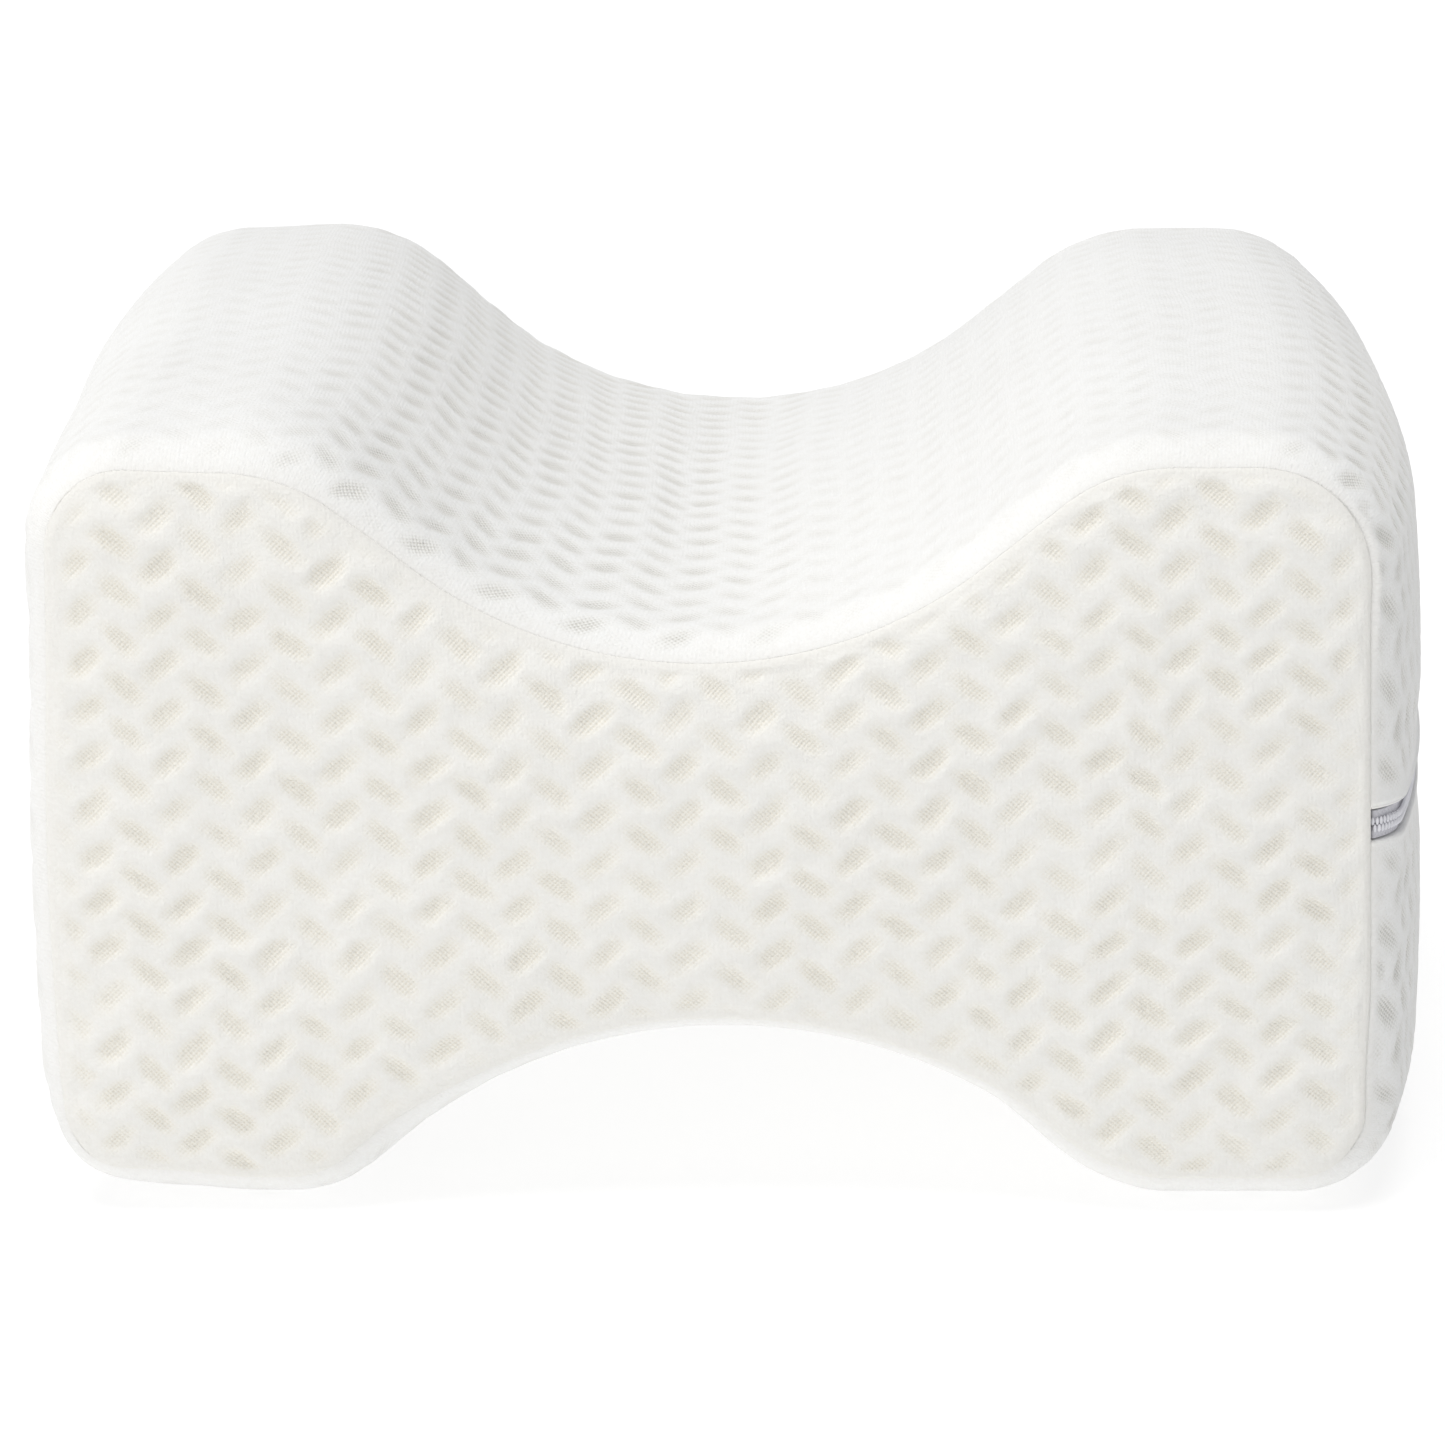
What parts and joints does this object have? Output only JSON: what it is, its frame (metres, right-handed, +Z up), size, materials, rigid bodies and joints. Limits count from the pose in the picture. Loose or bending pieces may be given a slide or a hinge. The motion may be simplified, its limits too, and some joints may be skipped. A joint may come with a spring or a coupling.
{
  "type": "knee pillow",
  "caption": "Hourglass foam pillow held between the knees: a leg trough on top, an arch under it, in a padded knit cover with a zip in its side band.",
  "frame": {"origin": "on the floor under the middle of the pillow", "axes": "+X to the right side with the zip, -Y to the front panel, +Z up from the feet"},
  "size_m": [0.2502, 0.2, 0.145],
  "materials": {
    "band_knit": "soft white jacquard knit with a woven-in zigzag of small dimples",
    "panel_knit": "warm white jacquard knit, a herringbone of small mesh dimples",
    "zip_tape": "light grey woven zip tape",
    "zip_coil": "light grey nylon coil",
    "zip_metal": "satin grey lacquered slider"
  },
  "bodies": {
    "root": {"side_band_body": "band_knit", "front_panel": "panel_knit", "back_panel": "panel_knit", "zip_tape_upper": "zip_tape", "zip_tape_lower": "zip_tape", "zip_coil": "zip_coil", "zip_slider": "zip_metal", "zip_pull": "zip_metal"}
  },
  "joints": []
}
